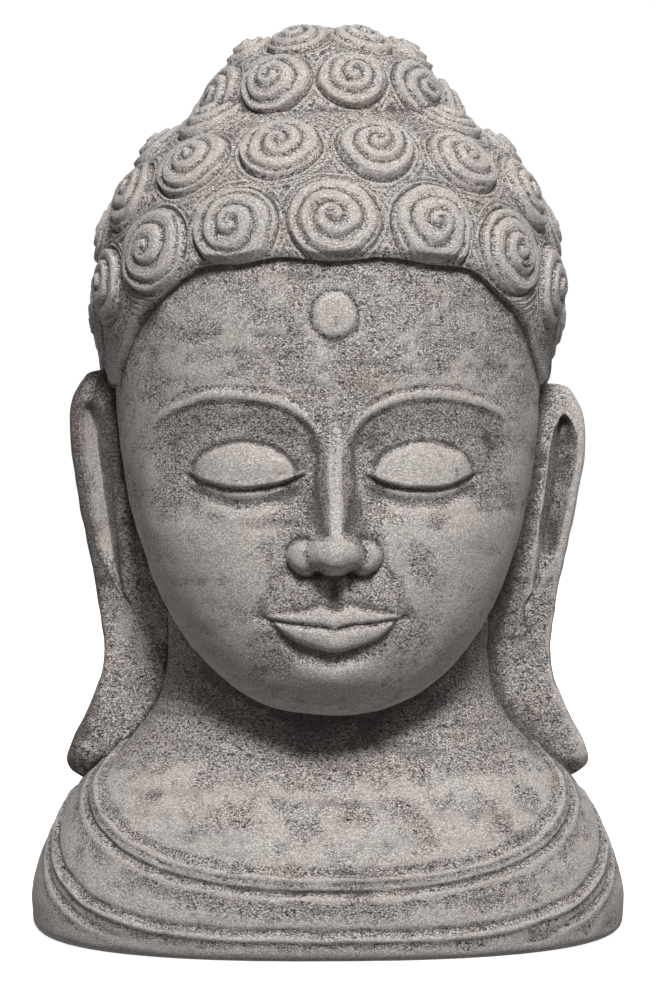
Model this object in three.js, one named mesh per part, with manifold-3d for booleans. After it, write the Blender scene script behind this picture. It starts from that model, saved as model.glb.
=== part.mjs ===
// Stone Buddha head: a bust carved from one block, cut flat below.
// Millimetres, +Z up, front towards -Y, +X on the viewer's right.
// The origin is the middle of the flat underside.

import * as THREE from "three";
import Module from "manifold-3d";
import { LoftGeometry } from "three/addons/geometries/LoftGeometry.js";
import { mergeVertices } from "three/addons/utils/BufferGeometryUtils.js";

const manifold = await Module();
manifold.setup();

// ---- Driving dimensions ----------------------------------------------------

// The skull is an egg of level sections, widest at its equator.
const skullHalfWidth = 188;
const skullHalfDepth = 187;
const equatorHeight = 520;
const crownRise = 195;
const chinDrop = 322;
const chinAdvance = 85;
const chinAdvancePower = 2.2;
const sectionSquareness = 2.15;
const crownSquareness = 2.6;
const chinSquareness = 2.3;

// The face follows thirds: hairline to brow, brow to nose base, nose base to chin.
const hairlineHeight = 588;
const chinHeight = equatorHeight - chinDrop;
const faceThird = (hairlineHeight - chinHeight) / 3;
const browHeight = hairlineHeight - faceThird;
const noseBase = browHeight - faceThird;
const mouthHeight = noseBase - faceThird / 3;
const eyeSide = 2 * skullHalfWidth / 5;
const lashHeight = browHeight - 0.4 * faceThird;

// Brow, socket and closed lid: side is the distance from the middle of the face.
const brow = { middle: 84, halfWidth: 80, rise: 62, top: 14, bend: 0.86, proud: 5, width: 7 };
const socket = { depth: 9, edge: 20, foot: 46, inner: 4, outer: 26 };
const lid = { halfWidth: 42, halfHeight: 26, lift: 4, proud: 13, hang: 8, curve: 9, step: 4 };

// Nose: a bridge that widens downwards, a round tip and two wings.
const noseTipHeight = noseBase + 18;
const nose = { rootProud: 7, proud: 44, rootWidth: 12, footWidth: 17, tipWidth: 22, tipHeight: 20 };
const wing = { side: 22, lift: 14, proud: 25, halfWidth: 17, halfHeight: 17 };

// Mouth: the lips stand on a soft muzzle, with a fold above the chin.
const mouth = { halfWidth: 58, curve: 5, upper: 15, bow: 3, lower: 20, proud: 8, parting: 3 };
const muzzle = { proud: 8, halfWidth: 62, halfHeight: 42 };
const chinFold = { depth: 4, drop: 9, height: 8, halfWidth: 34 };
const philtrum = { depth: 2.5, halfWidth: 6, foot: 12, top: 26 };
const chin = { proud: 14, halfWidth: 40, lift: 37, halfHeight: 26 };
const cheek = { proud: 6, side: 98, halfWidth: 50, lift: 8, halfHeight: 58 };

// The forehead dot.
const dotRadius = 19;
const dotHeight = 541;
const dotProud = 3;

// The hair is a cap with an arched edge over the face and a dropped nape.
const hairThickness = 14;
const hairEdgeDrop = 3;
const templeThickness = 5;
const templeHeight = 480;
const napeHeight = 345;
const archShare = 0.965;
const archPower = 4.5;
const hairTuck = 6;
const napeCurve = 0.8;

// The topknot dome.
const domeHalfWidth = 111;
const domeHalfDepth = 115;
const domeRise = 89;
const domeSetBack = 15;
const domeHeight = 702;

// Snail curls stand in level rows round axes that lean back.
const curlProud = 11;
const curlRoot = 11;
const curlSides = 7;
const snailGrowth = 0.2;
const capRowLean = 23;
const domeRowLean = 18;
const capRows = [
  { polar: 104, count: 16, start: 0, radius: 31, from: 130, to: 180 },
  { polar: 85.5, count: 16, start: 0, radius: 36, from: 0, to: 180 },
  { polar: 66.5, count: 16, start: 10, radius: 34, from: 0, to: 180 },
  { polar: 47.5, count: 14, start: 12.86, radius: 31, from: 30, to: 180 },
  { polar: 29, count: 9, start: 20, radius: 27, from: 95, to: 180 },
];
const domeRows = [
  { polar: 79, count: 10, start: 10, radius: 31, from: 0, to: 125 },
  { polar: 45, count: 9, start: 20, radius: 27, from: 0, to: 180 },
  { polar: 0, count: 1, start: 0, radius: 24, from: 0, to: 180 },
];

// The ears: long plates that stand out from the head and end in wide lobes.
const leftEarTop = 494;
const rightEarTop = 482;
const hollowFoot = 288;
const hollowTop = 466;
const hollowDepth = 21;
const lobeFoot = 150;
const lobeTop = 270;
const earWaist = 262;
const earMiddle = 20;
const earPlate = { front: -2, back: 54, root: 138, rim: 8.5, lip: 180, lipSpread: 20 };
const lobePlate = { front: -8, back: 48, root: 92, rimGrowth: 18, tipTuck: 15 };
const waistPush = 9;
const waistThin = 12;
const crestFoot = 428;
const crestRise = 68;

// The bust: stations of level sections from the underside to inside the head.
const bustStations = [
  { height: 0, halfWidth: 262, front: 192, back: 182, squareness: 2.4 },
  { height: 40, halfWidth: 262, front: 192, back: 183, squareness: 2.4 },
  { height: 90, halfWidth: 244, front: 176, back: 174, squareness: 2.35 },
  { height: 134, halfWidth: 215, front: 147, back: 159, squareness: 2.25 },
  { height: 170, halfWidth: 175, front: 118, back: 141, squareness: 2.1 },
  { height: 215, halfWidth: 146, front: 95, back: 126, squareness: 2 },
  { height: 310, halfWidth: 142, front: 90, back: 118, squareness: 2 },
];
const bottomEdge = 10;
const neckTop = 310;
const neckMiddle = 250;
const neckFoot = 215;

// The robe's two collar bands dip in front and climb over the shoulders.
const upperBandFront = 70;
const upperBandClimb = 100;
const upperBandBack = 24;
const lowerBandFront = 19;
const lowerBandClimb = 94;
const lowerBandCurve = 1.4;
const lowerBandBack = 20;
const bandProud = 4;
const bandHeight = 12;

// ---- Small helpers ---------------------------------------------------------

const radians = THREE.MathUtils.degToRad;
const mix = THREE.MathUtils.lerp;
const clamp01 = (value) => THREE.MathUtils.clamp(value, 0, 1);
const step = (value, from, to) => THREE.MathUtils.smoothstep(value, from, to);
const hill = (distance, width) => Math.exp(-((distance / width) ** 2));
const signedPower = (value, power) => Math.sign(value) * Math.abs(value) ** power;

function toSolid(form) {
  const geometry = new THREE.BufferGeometry();
  geometry.setAttribute("position", form.attributes.position);
  geometry.setIndex(form.index);
  const merged = mergeVertices(geometry, 1e-3);
  const vertProperties = new Float32Array(merged.attributes.position.array);
  const triVerts = new Uint32Array(merged.index.array);
  return new manifold.Manifold(new manifold.Mesh({ numProp: 3, vertProperties, triVerts }));
}

function toGeometry(solid) {
  const mesh = solid.getMesh();
  const geometry = new THREE.BufferGeometry();
  geometry.setAttribute("position", new THREE.BufferAttribute(mesh.vertProperties, 3));
  geometry.setIndex(new THREE.BufferAttribute(mesh.triVerts, 1));
  geometry.computeVertexNormals();
  return geometry;
}

// A globe whose vertices are moved to place(turn, row). Its first and last rows
// are single points. Turn 0 faces the front and grows towards +X.
function roundForm(turns, rowCount, place) {
  const geometry = new THREE.SphereGeometry(1, turns.length - 1, rowCount - 1);
  const positions = geometry.attributes.position;
  for (let index = 0; index < positions.count; index += 1) {
    const row = Math.floor(index / turns.length);
    const point = place(turns[index % turns.length], row);
    positions.setXYZ(index, point.x, point.y, point.z);
  }
  return toSolid(geometry);
}

function evenTurns(count) {
  return Array.from({ length: count + 1 }, (_, index) => -Math.PI + 2 * Math.PI * index / count);
}

// ---- Skull -----------------------------------------------------------------

// Size of the level section at a height, as a share of the widest one.
function sectionReach(height, swell) {
  const above = height > equatorHeight;
  const span = (above ? crownRise : chinDrop) + swell;
  const power = above ? crownSquareness : chinSquareness;
  const share = Math.min(1, Math.abs(height - equatorHeight) / span);
  return (1 - share ** power) ** (1 / power);
}

// The sections below the equator slide forward, which brings the chin out.
function sectionCentre(height) {
  const share = Math.max(0, equatorHeight - height) / chinDrop;
  return -chinAdvance * Math.min(1, share) ** chinAdvancePower;
}

function skullPoint(turn, height, swell) {
  const reach = sectionReach(height, swell);
  const power = 2 / sectionSquareness;
  return new THREE.Vector3(
    (skullHalfWidth + swell) * reach * signedPower(Math.sin(turn), power),
    sectionCentre(height) - (skullHalfDepth + swell) * reach * signedPower(Math.cos(turn), power),
    height,
  );
}

// ---- Face ------------------------------------------------------------------

// The brow is an arch round each eye; the closed lids meet on a hanging curve.
function browArch(side) {
  const across = Math.min(1, Math.abs(side - brow.middle) / brow.halfWidth);
  return browHeight + brow.top - brow.rise * (1 - Math.sqrt(1 - brow.bend * across ** 2));
}

function lashLine(side) {
  const across = (side - eyeSide) / lid.halfWidth;
  return lashHeight - lid.hang + lid.curve * Math.min(1.4, across ** 2);
}

function mouthLine(side) {
  return mouthHeight - 1 + mouth.curve * Math.min(1.6, (side / mouth.halfWidth) ** 2);
}

function knoll(side, height, halfWidth, halfHeight) {
  return Math.sqrt(Math.max(0, 1 - Math.hypot(side / halfWidth, height / halfHeight) ** 2));
}

function eyeRelief(side, height) {
  const outerEnd = brow.middle + brow.halfWidth;
  const along = step(side, socket.inner, socket.outer) * (1 - step(side, outerEnd - 18, outerEnd + 8));
  const arch = browArch(side);
  const lash = lashLine(side);
  const ridge = brow.proud * hill(height - arch, brow.width) * along;
  const below = step(arch - height, 2, socket.edge)
    * step(height, lashHeight - socket.foot, lashHeight - socket.foot / 3);
  const hollow = -socket.depth * below * along;
  const aboveLid = height - lashHeight - lid.lift;
  const ball = Math.hypot((side - eyeSide) / lid.halfWidth, aboveLid / lid.halfHeight);
  const eyelid = lid.proud * Math.sqrt(Math.max(0, 1 - ball ** 2));
  const underLid = -lid.step * (1 - step(height, lash - 3, lash + 1)) * (1 - step(ball, 0.8, 1.2));
  return ridge + hollow + eyelid + underLid;
}

function noseRelief(side, height) {
  const down = clamp01((browHeight - height) / (browHeight - noseTipHeight));
  const root = 1 - step(height, browHeight - 10, browHeight + 30);
  const rise = mix(nose.rootProud, nose.proud - 3, down) * root;
  const halfWidth = mix(nose.rootWidth, nose.footWidth, down);
  const foot = step(height, noseBase - 1, noseBase + 10);
  const bridge = rise * Math.exp(-((side / halfWidth) ** 3)) * foot;
  const tip = nose.proud * knoll(side, height - noseTipHeight, nose.tipWidth, nose.tipHeight);
  const aboveWing = height - noseBase - wing.lift;
  const nostril = wing.proud * knoll(side - wing.side, aboveWing, wing.halfWidth, wing.halfHeight);
  return Math.max(bridge, tip, nostril);
}

function mouthRelief(side, height) {
  const front = muzzle.proud * hill(side, muzzle.halfWidth) * hill(height - mouthHeight, muzzle.halfHeight);
  const line = mouthLine(side);
  const taper = Math.max(0, 1 - (side / mouth.halfWidth) ** 2);
  const lowTaper = Math.max(0, 1 - (side / (0.86 * mouth.halfWidth)) ** 2);
  const upperHalf = (mouth.upper + mouth.bow * hill(side - 13, 9)) * taper / 2 + 0.1;
  const lowerHalf = mouth.lower * lowTaper / 2 + 0.1;
  const upperLip = mouth.proud * Math.max(0, 1 - ((height - line - upperHalf) / upperHalf) ** 2);
  const lowerLip = 1.2 * mouth.proud * Math.max(0, 1 - ((height - line + lowerHalf) / lowerHalf) ** 2);
  const corner = 1 - step(side, mouth.halfWidth - 6, mouth.halfWidth + 6);
  const parting = -mouth.parting * hill(height - line, 3) * corner;
  const belowLip = height - line + 2 * lowerHalf + chinFold.drop;
  const fold = -chinFold.depth * hill(belowLip, chinFold.height) * hill(side, chinFold.halfWidth);
  const groove = -philtrum.depth * hill(side, philtrum.halfWidth)
    * step(height, mouthHeight + philtrum.foot, mouthHeight + philtrum.top)
    * (1 - step(height, noseBase - 2, noseBase + 6));
  return front + Math.max(upperLip, lowerLip) + parting + fold + groove;
}

function faceRelief(x, height) {
  const side = Math.abs(x);
  const chinBall = chin.proud * hill(side, chin.halfWidth)
    * hill(height - chinHeight - chin.lift, chin.halfHeight);
  const cheekSwell = cheek.proud * hill(side - cheek.side, cheek.halfWidth)
    * hill(height - noseBase - cheek.lift, cheek.halfHeight);
  return eyeRelief(side, height) + noseRelief(side, height) + mouthRelief(side, height)
    + chinBall + cheekSwell;
}

// A level bends to run along the brow, the lids or the mouth where it nears them.
function bentLevel(level, side) {
  const nearBrow = step(level, lashHeight + 6, browHeight)
    * (1 - step(level, browHeight + 16, hairlineHeight));
  const nearLash = step(level, lashHeight - 34, lashHeight - 8)
    * (1 - step(level, lashHeight - 4, browHeight - 6));
  const nearMouth = 1 - step(Math.abs(level - mouthHeight), 6, 36);
  return level + nearBrow * (browArch(side) - browHeight)
    + nearLash * (lashLine(side) - lashHeight + lid.hang) + nearMouth * (mouthLine(side) - mouthHeight + 1);
}

// Levels run through the features they are named for.
function makeHead() {
  const levels = [
    605, 580, 530, browHeight + 26, browHeight + 8, browHeight, browHeight - 8,
    lashHeight + 34, lashHeight + 22, lashHeight + 11, lashHeight + 1, lashHeight - 7,
    lashHeight - 12, lashHeight - 26, noseTipHeight + 34, noseTipHeight + 14, noseTipHeight,
    noseBase + 6, noseBase - 2, noseBase - 14, mouthHeight + 16, mouthHeight + 8, mouthHeight,
    mouthHeight - 10, mouthHeight - 20, mouthHeight - 31, chinHeight + 43, chinHeight + 27,
    chinHeight + 13, chinHeight + 4, chinHeight,
  ];
  const sides = [0, 7, 14, 22, 31, 42, 55, 68, 81, 94, 109, 126, 145, 163, 179];
  const frontTurns = sides.map((side) => Math.asin(side / skullHalfWidth));
  const backTurns = [90, 118, 148].map(radians);
  const half = [...frontTurns, ...backTurns, Math.PI];
  const turns = [...half.slice(1).reverse().map((turn) => -turn), ...half];
  return roundForm(turns, levels.length, (turn, row) => {
    const level = levels[row];
    if (row === 0) {
      return new THREE.Vector3(0, 0, level);
    }
    const point = skullPoint(turn, level, 0);
    if (Math.cos(turn) > 0 && level > chinHeight) {
      const facing = step(Math.cos(turn), 0, 0.4);
      const bent = mix(level, bentLevel(level, Math.abs(point.x)), facing);
      point.copy(skullPoint(turn, bent, 0));
      point.y -= faceRelief(point.x, bent) * facing;
    }
    return point;
  });
}

function makeForeheadDot() {
  const profile = [
    new THREE.Vector2(0, -8),
    new THREE.Vector2(dotRadius, -8),
    new THREE.Vector2(dotRadius, dotProud - 1),
    new THREE.Vector2(dotRadius - 3, dotProud),
    new THREE.Vector2(0, dotProud),
  ];
  const geometry = new THREE.LatheGeometry(profile, 14);
  const place = skullPoint(0, dotHeight, 0);
  geometry.rotateX(Math.PI);
  geometry.translate(place.x, place.y, place.z);
  return toSolid(geometry);
}

// ---- Hair ------------------------------------------------------------------

// Height of the hair's edge: an arch over the face, falling to the nape behind.
function hairline(turn) {
  const sine = Math.abs(Math.sin(turn));
  if (Math.cos(turn) >= 0) {
    const share = Math.min(1, sine / archShare);
    return mix(templeHeight, hairlineHeight, 1 - share ** archPower);
  }
  return mix(templeHeight, napeHeight, (-Math.cos(turn)) ** napeCurve);
}

// The hair thins out in front of the ears, where it runs down to a point.
function hairThicknessAt(turn, height) {
  const thinning = step(Math.cos(turn), -0.3, 0.15) * (1 - step(height, templeHeight, hairlineHeight - 20));
  return mix(hairThickness, templeThickness, thinning);
}

function makeHairCap() {
  const rowCount = 5;
  const span = crownRise + hairThickness;
  const drop = chinDrop + hairThickness;
  return roundForm(evenTurns(24), rowCount + 3, (turn, row) => {
    const edge = hairline(turn);
    if (row === rowCount + 2) {
      return new THREE.Vector3(0, 0, templeHeight);
    }
    if (row === rowCount + 1) {
      return skullPoint(turn, edge, -hairTuck);
    }
    const share = (edge - equatorHeight) / (edge > equatorHeight ? span : drop);
    const power = edge > equatorHeight ? crownSquareness : chinSquareness;
    const edgeTilt = Math.asin(signedPower(share, power / 2));
    const tilt = mix(Math.PI / 2, edgeTilt, row / rowCount);
    const height = tilt > 0
      ? equatorHeight + span * Math.sin(tilt) ** (2 / crownSquareness)
      : equatorHeight - drop * Math.abs(Math.sin(tilt)) ** (2 / chinSquareness);
    const thickness = hairThicknessAt(turn, height);
    return skullPoint(turn, height, row === rowCount ? thickness - hairEdgeDrop : thickness);
  });
}

function makeDome() {
  const geometry = new THREE.SphereGeometry(1, 16, 7);
  geometry.rotateX(Math.PI / 2);
  geometry.scale(domeHalfWidth, domeHalfDepth, domeRise);
  geometry.translate(0, domeSetBack, domeHeight);
  return toSolid(geometry);
}

// Direction at a polar angle from an axis leaning back, and a turn round it.
function leaningDirection(lean, polar, turn) {
  const direction = new THREE.Vector3(
    Math.sin(polar) * Math.sin(turn),
    -Math.sin(polar) * Math.cos(turn),
    Math.cos(polar),
  );
  return direction.applyAxisAngle(new THREE.Vector3(1, 0, 0), -lean);
}

function capPoint(direction) {
  const above = direction.z > 0;
  const power = above ? crownSquareness : chinSquareness;
  const span = (above ? crownRise : chinDrop) + hairThickness;
  const level = (Math.abs(direction.x) / (skullHalfWidth + hairThickness)) ** sectionSquareness
    + (Math.abs(direction.y) / (skullHalfDepth + hairThickness)) ** sectionSquareness;
  const size = level ** (power / sectionSquareness) + (Math.abs(direction.z) / span) ** power;
  const point = direction.clone().multiplyScalar(size ** (-1 / power));
  point.z += equatorHeight;
  point.y += sectionCentre(point.z);
  return point;
}

function domePoint(direction) {
  return new THREE.Vector3(
    direction.x * domeHalfWidth,
    direction.y * domeHalfDepth + domeSetBack,
    direction.z * domeRise + domeHeight,
  );
}

// One curl: a stepped knob whose outline grows round one turn like a snail's.
function makeCurl(surface, direction, radius, spin) {
  const profile = [
    new THREE.Vector2(0, -curlRoot),
    new THREE.Vector2(1.1 * radius, -curlRoot),
    new THREE.Vector2(0.86 * radius, 0.7 * curlProud),
    new THREE.Vector2(0.48 * radius, 0.5 * curlProud),
    new THREE.Vector2(0, 1.2 * curlProud),
  ];
  const geometry = new THREE.LatheGeometry(profile, curlSides);
  const positions = geometry.attributes.position;
  for (let index = 0; index < positions.count; index += 1) {
    const x = positions.getX(index);
    const z = positions.getZ(index);
    const share = ((Math.atan2(x, z) / (2 * Math.PI) + 1.001) % 1);
    const growth = 1 - snailGrowth * share;
    positions.setX(index, x * growth);
    positions.setZ(index, z * growth);
  }
  const nudge = 0.02;
  const base = surface(direction);
  const east = new THREE.Vector3(0, 0, 1).cross(direction);
  if (east.length() < nudge) {
    east.set(1, 0, 0);
  }
  east.normalize();
  const north = direction.clone().cross(east);
  const alongEast = surface(direction.clone().addScaledVector(east, nudge).normalize()).sub(base);
  const alongNorth = surface(direction.clone().addScaledVector(north, nudge).normalize()).sub(base);
  const normal = alongEast.clone().cross(alongNorth).normalize();
  const side = alongEast.normalize();
  const frame = new THREE.Matrix4().makeBasis(side, normal, side.clone().cross(normal));
  geometry.rotateY(spin);
  geometry.applyMatrix4(frame.setPosition(base));
  return toSolid(geometry);
}

function makeCurls() {
  const curls = [];
  const addRows = (rows, lean, surface) => {
    for (const row of rows) {
      for (let index = 0; index < row.count; index += 1) {
        const degrees = row.start + 360 * index / row.count;
        const fromFront = Math.abs(((degrees + 180) % 360) - 180);
        if (fromFront >= row.from && fromFront <= row.to) {
          const direction = leaningDirection(radians(lean), radians(row.polar), radians(degrees));
          curls.push(makeCurl(surface, direction, row.radius, radians(37 * index)));
        }
      }
    }
  };
  addRows(capRows, capRowLean, capPoint);
  addRows(domeRows, domeRowLean, domePoint);
  return curls;
}

// ---- Ears ------------------------------------------------------------------

// Outer edge of the ear, from the lobe's tip up to its rounded top.
const earOutline = new THREE.SplineCurve([
  new THREE.Vector2(216, 128),
  new THREE.Vector2(231, 140),
  new THREE.Vector2(230, 158),
  new THREE.Vector2(212, 196),
  new THREE.Vector2(200, 236),
  new THREE.Vector2(207, 300),
  new THREE.Vector2(221, 375),
  new THREE.Vector2(229, 435),
  new THREE.Vector2(227, 468),
  new THREE.Vector2(212, 494),
]);

// Level section of the right ear: root, flat front, hollow, rim and back.
function earSection(outer, height, lift) {
  const low = clamp01((hollowFoot + 52 - height) / 57);
  const arch = Math.sqrt(1 - (0.98 * clamp01((height - hollowTop + 30) / 31)) ** 2);
  const outerRim = outer - earPlate.rim - lobePlate.rimGrowth * low ** 1.6;
  const spread = earPlate.lipSpread * clamp01((height - hollowFoot) / (hollowTop - hollowFoot));
  const innerLip = Math.min(earPlate.lip + spread, outerRim - 5);
  const middle = mix(innerLip, outerRim, 0.5);
  const lip = mix(middle, innerLip, arch);
  const rim = mix(middle, outerRim, arch);
  const depth = hollowDepth * step(height, hollowFoot - 8, hollowFoot + 75)
    * (1 - step(height, hollowTop - 4, hollowTop + 1));
  const lobe = 1 - step(height, lobeFoot, lobeTop);
  const waist = hill(height - earWaist, 55);
  const tip = 1 - step(height, 126, 152);
  const front = mix(earPlate.front, lobePlate.front, lobe) + waistPush * waist + lobePlate.tipTuck * tip;
  const back = mix(earPlate.back, lobePlate.back, lobe) - waistThin * waist;
  const root = mix(earPlate.root, lobePlate.root, lobe);
  const groove = mix(lip, rim, 0.38);
  const crest = Math.sqrt(1 - (0.97 * clamp01((height - crestFoot) / crestRise)) ** 2);
  return [
    [root, back + 24],
    [root, front - 6],
    [lip, front - 4],
    [mix(lip, groove, 0.6), front - 2 + 0.62 * depth],
    [groove, front - 2 + depth],
    [mix(groove, rim, 0.6), front + 0.5 * depth],
    [rim, front],
    [outer - 2.5, front + 1],
    [outer, front + 9],
    [outer - 2, back - 12],
    [outer - 12, back],
  ].map(([x, y]) => new THREE.Vector3(
    x,
    earMiddle + (y - earMiddle) * crest,
    height + lift * step(height, 300, 470),
  ));
}

function makeEar(mirror, top) {
  const count = 16;
  const lift = top - leftEarTop;
  const sections = [];
  for (let index = 0; index <= count; index += 1) {
    const edge = earOutline.getPoint(index / count);
    const section = earSection(edge.x, edge.y, lift);
    if (mirror < 0) {
      section.forEach((point) => point.setX(-point.x));
      section.reverse();
    }
    sections.push(section);
  }
  return toSolid(new LoftGeometry(sections, { capStart: true, capEnd: true }));
}

// ---- Neck, shoulders and robe ----------------------------------------------

// Station values at a height, on a smooth curve through the stations.
function bustStation(height) {
  const last = bustStations.length - 2;
  let index = bustStations.findIndex((station) => station.height > height) - 1;
  index = index < 0 ? (height <= 0 ? 0 : last) : index;
  const [low, high] = [bustStations[index], bustStations[index + 1]];
  const before = bustStations[Math.max(0, index - 1)];
  const after = bustStations[Math.min(last + 1, index + 2)];
  const gap = high.height - low.height;
  const share = clamp01((height - low.height) / gap);
  const curve = (key) => {
    const slopeLow = (high[key] - before[key]) / (high.height - before.height) * gap;
    const slopeHigh = (after[key] - low[key]) / (after.height - low.height) * gap;
    const square = share * share;
    const cube = square * share;
    return low[key] * (2 * cube - 3 * square + 1) + high[key] * (3 * square - 2 * cube)
      + slopeLow * (cube - 2 * square + share) + slopeHigh * (cube - square);
  };
  return {
    halfWidth: curve("halfWidth"),
    front: curve("front"),
    back: curve("back"),
    squareness: curve("squareness"),
  };
}

function bustPoint(turn, height, swell) {
  const station = bustStation(height);
  const power = 2 / station.squareness;
  const depth = Math.cos(turn) > 0 ? station.front : station.back;
  return new THREE.Vector3(
    (station.halfWidth + swell) * signedPower(Math.sin(turn), power),
    -(depth + swell) * signedPower(Math.cos(turn), power),
    height,
  );
}

function bandHeightAt(turn, front, climb, curve, back) {
  const swing = 1 - Math.cos(turn);
  return front + climb * Math.min(1, swing) ** curve + back * Math.max(0, swing - 1);
}

// Rows from inside the head down to the underside: [height, stand-out].
function robeRows(turn) {
  const upper = bandHeightAt(turn, upperBandFront, upperBandClimb, 1, upperBandBack);
  const lower = bandHeightAt(turn, lowerBandFront, lowerBandClimb, lowerBandCurve, lowerBandBack);
  const hem = Math.min(lower - bandHeight, 0.55 * lower);
  const edge = Math.min(bottomEdge, 0.7 * hem);
  return [
    [neckTop, 0],
    [neckMiddle, 0],
    [mix(neckFoot, upper, 0.1), 0],
    [mix(neckFoot, upper, 0.5), 0],
    [upper + 0.6 * bandHeight, -1],
    [upper, bandProud],
    [upper - 0.75 * bandHeight, 0.7 * bandProud],
    [upper - 1.1 * bandHeight, -2],
    [mix(upper, lower, 0.5), 1],
    [lower + 0.8 * bandHeight, -2],
    [lower, bandProud],
    [mix(lower, hem, 0.7), 0.7 * bandProud],
    [hem, -2 * step(lower, 30, 60)],
    [mix(edge, hem, 0.6), 0],
    [edge, 0],
    [0.2 * edge, -0.4 * bottomEdge],
    [0, -bottomEdge],
  ];
}

function makeBust() {
  const rowCount = robeRows(0).length + 2;
  return roundForm(evenTurns(28), rowCount, (turn, row) => {
    if (row === 0) {
      return new THREE.Vector3(0, 0, neckTop + 20);
    }
    if (row === rowCount - 1) {
      return new THREE.Vector3(0, 0, 0);
    }
    const [height, standOut] = robeRows(turn)[row - 1];
    return bustPoint(turn, height, standOut);
  });
}

// ---- The bust as one stone --------------------------------------------------

const forms = [
  makeHead(),
  makeForeheadDot(),
  makeHairCap(),
  makeDome(),
  ...makeCurls(),
  makeEar(1, rightEarTop),
  makeEar(-1, leftEarTop),
  makeBust(),
];
const carving = forms.reduce((whole, form) => whole.add(form));

const stone = new THREE.MeshStandardMaterial({ color: 0x9b928d, roughness: 0.92, metalness: 0 });
const bust = new THREE.Mesh(toGeometry(carving), stone);
bust.name = "stone_bust";

const group = new THREE.Group();
group.add(bust);

export default group;
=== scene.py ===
"""Stone Buddha head: one carved block with its finish, studio floor, light and camera."""
import math

import bpy
import numpy as np
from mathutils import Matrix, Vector


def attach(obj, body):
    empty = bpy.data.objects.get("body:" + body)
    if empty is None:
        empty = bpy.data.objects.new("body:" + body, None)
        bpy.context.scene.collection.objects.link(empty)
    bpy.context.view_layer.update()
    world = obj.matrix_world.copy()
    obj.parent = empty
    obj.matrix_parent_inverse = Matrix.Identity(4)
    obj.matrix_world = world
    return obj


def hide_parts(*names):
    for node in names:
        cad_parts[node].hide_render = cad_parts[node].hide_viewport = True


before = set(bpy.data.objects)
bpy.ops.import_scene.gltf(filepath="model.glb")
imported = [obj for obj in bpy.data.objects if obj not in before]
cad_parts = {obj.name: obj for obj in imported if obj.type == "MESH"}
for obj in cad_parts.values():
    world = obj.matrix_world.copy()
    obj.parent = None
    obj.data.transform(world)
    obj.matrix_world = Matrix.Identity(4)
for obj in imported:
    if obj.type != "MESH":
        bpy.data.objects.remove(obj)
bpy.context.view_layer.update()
rng = np.random.default_rng(7)

# ---- Driving dimensions, in millimetres -------------------------------------------------------

MM = 0.001

# The skull is an egg of level sections, widest at its equator.
SKULL_HALF_WIDTH = 188
SKULL_HALF_DEPTH = 187
EQUATOR = 520
CROWN_RISE = 195
CHIN_DROP = 322
CHIN_ADVANCE = 85
CHIN_ADVANCE_POWER = 2.2
SECTION_SQUARENESS = 2.15
CROWN_SQUARENESS = 2.6
CHIN_SQUARENESS = 2.3

# The face follows thirds: hairline to brow, brow to nose base, nose base to chin.
HAIRLINE = 588
CHIN = EQUATOR - CHIN_DROP
FACE_THIRD = (HAIRLINE - CHIN) / 3
BROW = HAIRLINE - FACE_THIRD
NOSE_BASE = BROW - FACE_THIRD
MOUTH = NOSE_BASE - FACE_THIRD / 3
EYE_SIDE = 2 * SKULL_HALF_WIDTH / 5
LASH = BROW - 0.4 * FACE_THIRD
BROW_MIDDLE = 84
BROW_HALF_WIDTH = 80
BROW_RISE = 62
BROW_TOP = 14
BROW_BEND = 0.86
BRIDGE_TOP = 10
BRIDGE_FOOT = 17
SOCKET_DEPTH = 8
SOCKET_STEP = 3.2
LID_HALF_WIDTH = 42
LID_HALF_HEIGHT = 26
LID_PROUD = 13.5
LASH_HANG = 9
LASH_CURVE = 9
NOSE_TIP = NOSE_BASE + 18
NOSE_PROUD = 44
NOSE_ROOT = 6
TIP_HALF_WIDTH = 25
TIP_HALF_HEIGHT = 20
WING_SIDE = 23
WING_LIFT = 13
WING_PROUD = 24
WING_HALF_WIDTH = 17
WING_HALF_HEIGHT = 15
MOUTH_HALF_WIDTH = 58
UPPER_LIP = 14
LOWER_LIP = 20
UPPER_LIP_PROUD = 8
LOWER_LIP_PROUD = 10
LIP_CURVE = 5.5
PARTING_DEPTH = 4.2
MUZZLE_PROUD = 8
CHIN_PROUD = 17
CHIN_LIFT = 40
CHEEK_PROUD = 6
CHEEK_SIDE = 98
DOT_RADIUS = 19
DOT_HEIGHT = 541
DOT_PROUD = 2.2
DOT_CROWN = 1.4
DOT_GROOVE = 1.6

# The hair is a cap with an arched edge over the face and a dropped nape.
HAIR_THICKNESS = 14
HAIR_EDGE_DROP = 3
HAIR_TUCK = 6.0
SCALLOP = 2.2
TEMPLE_THICKNESS = 5
TEMPLE = 480
NAPE = 345
ARCH_SHARE = 0.965
ARCH_POWER = 4.5
NAPE_CURVE = 0.8

# The topknot dome.
DOME_AXES = (111, 115, 89)
DOME_SET_BACK = 15
DOME_HEIGHT = 702

# Snail curls stand in level rows round axes that lean back:
# polar angle, count, first turn, curl radius, turns from the front that carry curls.
CURL_EDGE = 4.6
CURL_CLIMB = 3.1
CURL_PITCH = 0.36
RING_SPACING = 5.4
CAP_LEAN = 23
DOME_LEAN = 18
CAP_ROWS = [
    (104, 16, 0, 31, 130, 180),
    (85.5, 16, 0, 36, 0, 180),
    (66.5, 16, 10, 34, 0, 180),
    (47.5, 14, 12.86, 31, 30, 180),
    (29, 9, 20, 27, 95, 180),
]
DOME_ROWS = [
    (79, 10, 10, 31, 0, 125),
    (45, 9, 20, 27, 0, 180),
    (0, 1, 0, 24, 0, 180),
]

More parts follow.
